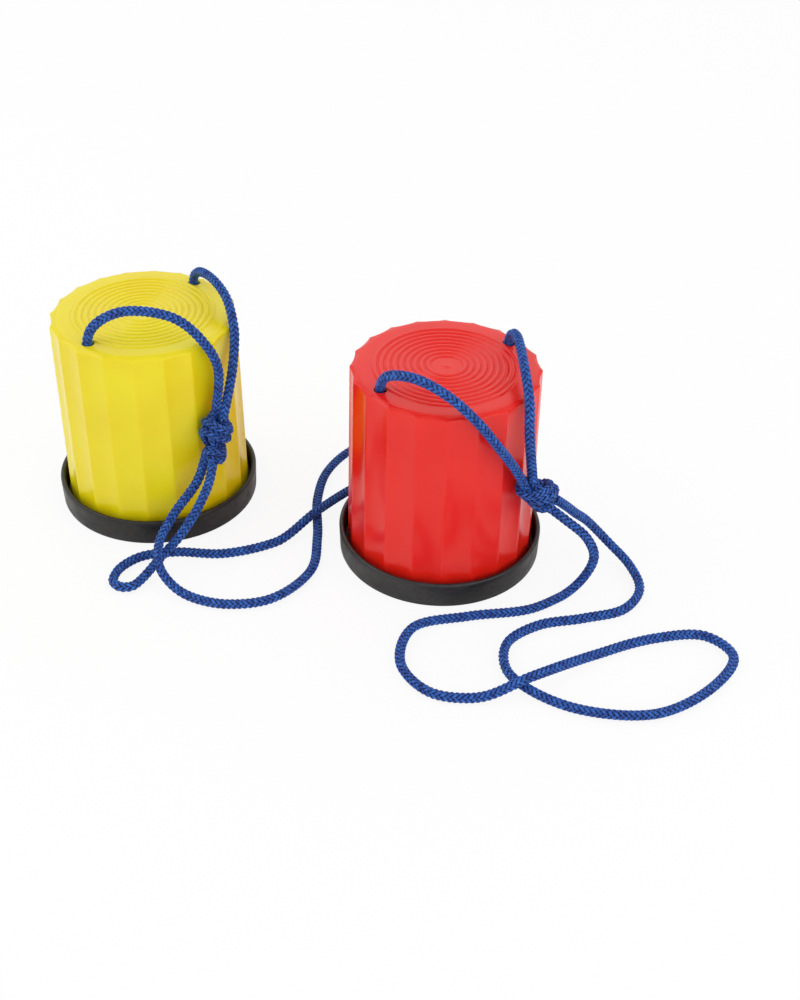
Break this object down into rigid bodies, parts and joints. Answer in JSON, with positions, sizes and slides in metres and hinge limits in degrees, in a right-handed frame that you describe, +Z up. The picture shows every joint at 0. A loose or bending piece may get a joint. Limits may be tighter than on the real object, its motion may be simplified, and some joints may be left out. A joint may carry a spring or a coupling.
{
  "type": "bucket stilts",
  "caption": "Pair of fluted plastic bucket stilts on black rubber base rings, each with a braided cord through its tread, gathered in a knot and ending in a handle loop.",
  "frame": {"origin": "on the ground, midway between the centres of the two stilts", "axes": "+X from the yellow stilt to the red one, +Y away from the side where the handle loops lie, +Z up"},
  "size_m": [0.4594, 0.2632, 0.158],
  "materials": {
    "yellow_plastic": "glossy moulded plastic",
    "red_plastic": "glossy moulded plastic",
    "black_rubber": "satin moulded rubber",
    "blue_cord": "braided synthetic cord"
  },
  "bodies": {
    "yellow_stilt": {"yellow_tub": "yellow_plastic", "yellow_base": "black_rubber"},
    "yellow_cord": {"yellow_front_leg": "blue_cord", "yellow_back_leg": "blue_cord", "yellow_gather_knot": "blue_cord", "yellow_handle_loop": "blue_cord", "yellow_front_stopper": "blue_cord", "yellow_back_stopper": "blue_cord"},
    "red_stilt": {"red_tub": "red_plastic", "red_base": "black_rubber"},
    "red_cord": {"red_front_leg": "blue_cord", "red_back_leg": "blue_cord", "red_gather_knot": "blue_cord", "red_handle_loop": "blue_cord", "red_front_stopper": "blue_cord", "red_back_stopper": "blue_cord"}
  },
  "joints": [
    {"name": "yellow_step", "type": "slide", "parent": "red_stilt", "child": "yellow_stilt", "axis": [0, 0, 1], "range_m": [0, 0.15]},
    {"name": "yellow_cord_slide", "type": "slide", "parent": "yellow_stilt", "child": "yellow_cord", "axis": [0, 0, 1], "range_m": [0, 0.01]},
    {"name": "red_cord_slide", "type": "slide", "parent": "red_stilt", "child": "red_cord", "axis": [0, 0, 1], "range_m": [0, 0.01]}
  ]
}
